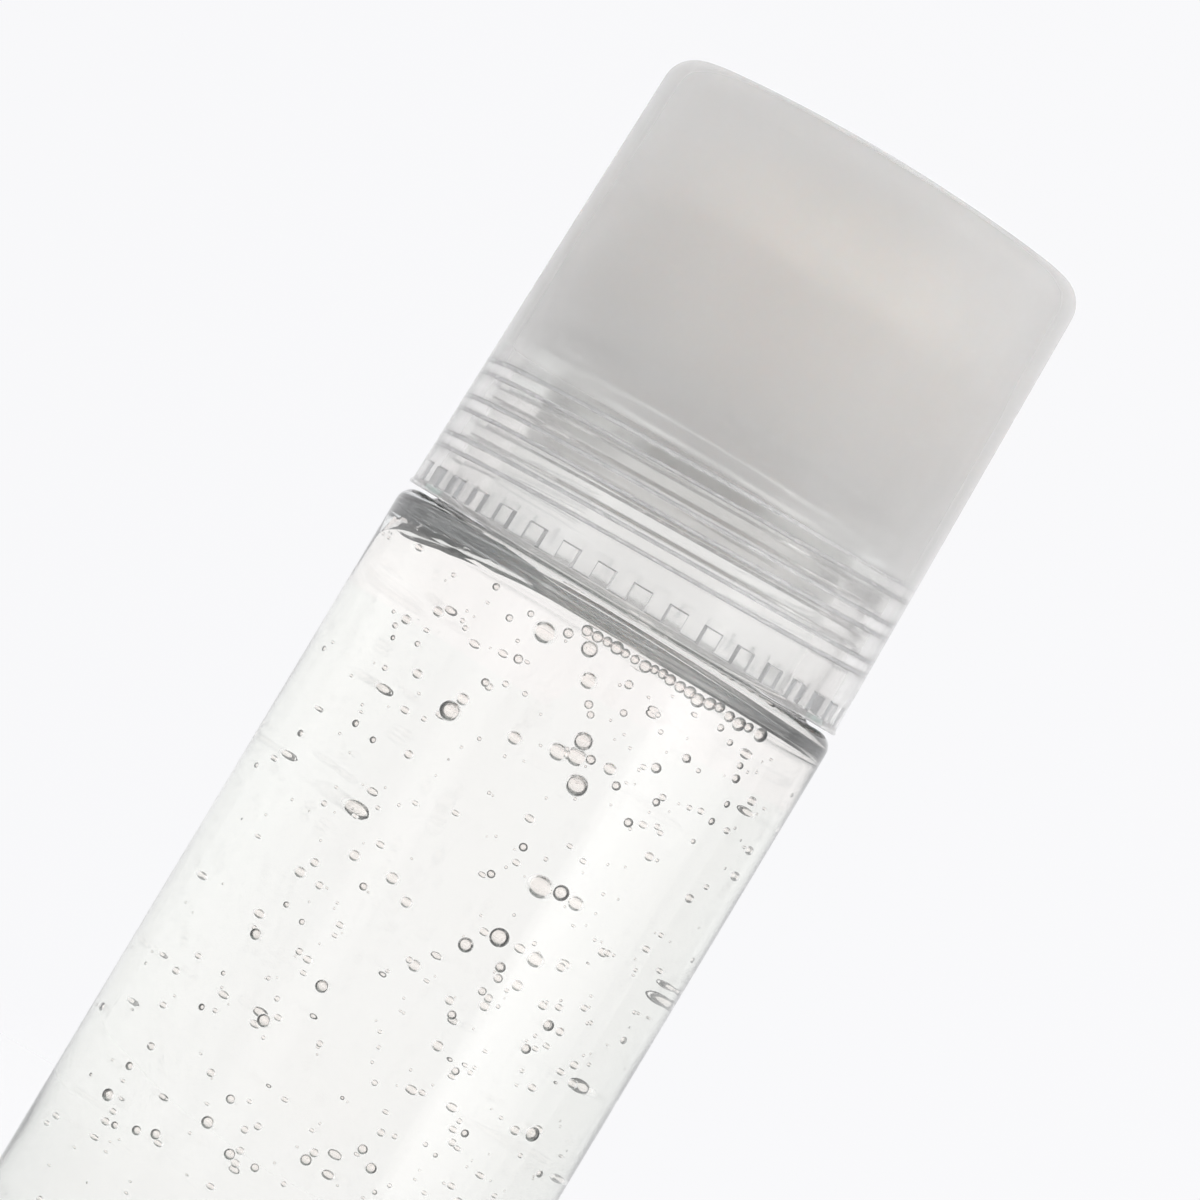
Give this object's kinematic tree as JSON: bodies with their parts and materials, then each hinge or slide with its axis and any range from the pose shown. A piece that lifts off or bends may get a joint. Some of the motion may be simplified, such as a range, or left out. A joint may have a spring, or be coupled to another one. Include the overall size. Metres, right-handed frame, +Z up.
{
  "type": "roll-on bottle",
  "caption": "Clear glass roll-on bottle of gel with a roller ball in a neck housing and a frosted screw cap that turns, lifts off and seals the ball.",
  "frame": {"origin": "centre of the base, on the surface that the bottle stands on", "axes": "+Z up along the bottle's axis, -Y towards the viewer of the picture, +X to the right"},
  "size_m": [0.038, 0.038, 0.1129],
  "materials": {
    "clear_glass": "clear polished glass with a faint green cast in its thick edges",
    "clear_gel": "clear gel with trapped air bubbles",
    "housing_plastic": "satin moulded plastic",
    "ball_plastic": "smooth polished plastic",
    "frosted_cap": "frosted translucent plastic",
    "soft_pad": "soft matte foam"
  },
  "bodies": {
    "bottle": {"glass_bottle": "clear_glass", "gel_fill": "clear_gel", "ball_housing": "housing_plastic"},
    "ball": {"roller_ball": "ball_plastic"},
    "pad": {"cap_pad": "soft_pad"},
    "cap": {"cap_shell": "frosted_cap"}
  },
  "joints": [
    {"name": "ball_roll", "type": "hinge", "parent": "bottle", "child": "ball", "pos_m": [0, 0, 0.0967], "axis": [1, 0, 0], "continuous": true},
    {"name": "cap_lift", "type": "slide", "parent": "bottle", "child": "pad", "axis": [0, 0, 1], "range_m": [0, 0.045]},
    {"name": "cap_turn", "type": "hinge", "parent": "pad", "child": "cap", "pos_m": [0, 0, 0.07325], "axis": [0, 0, 1], "range_deg": [0, 720]}
  ]
}
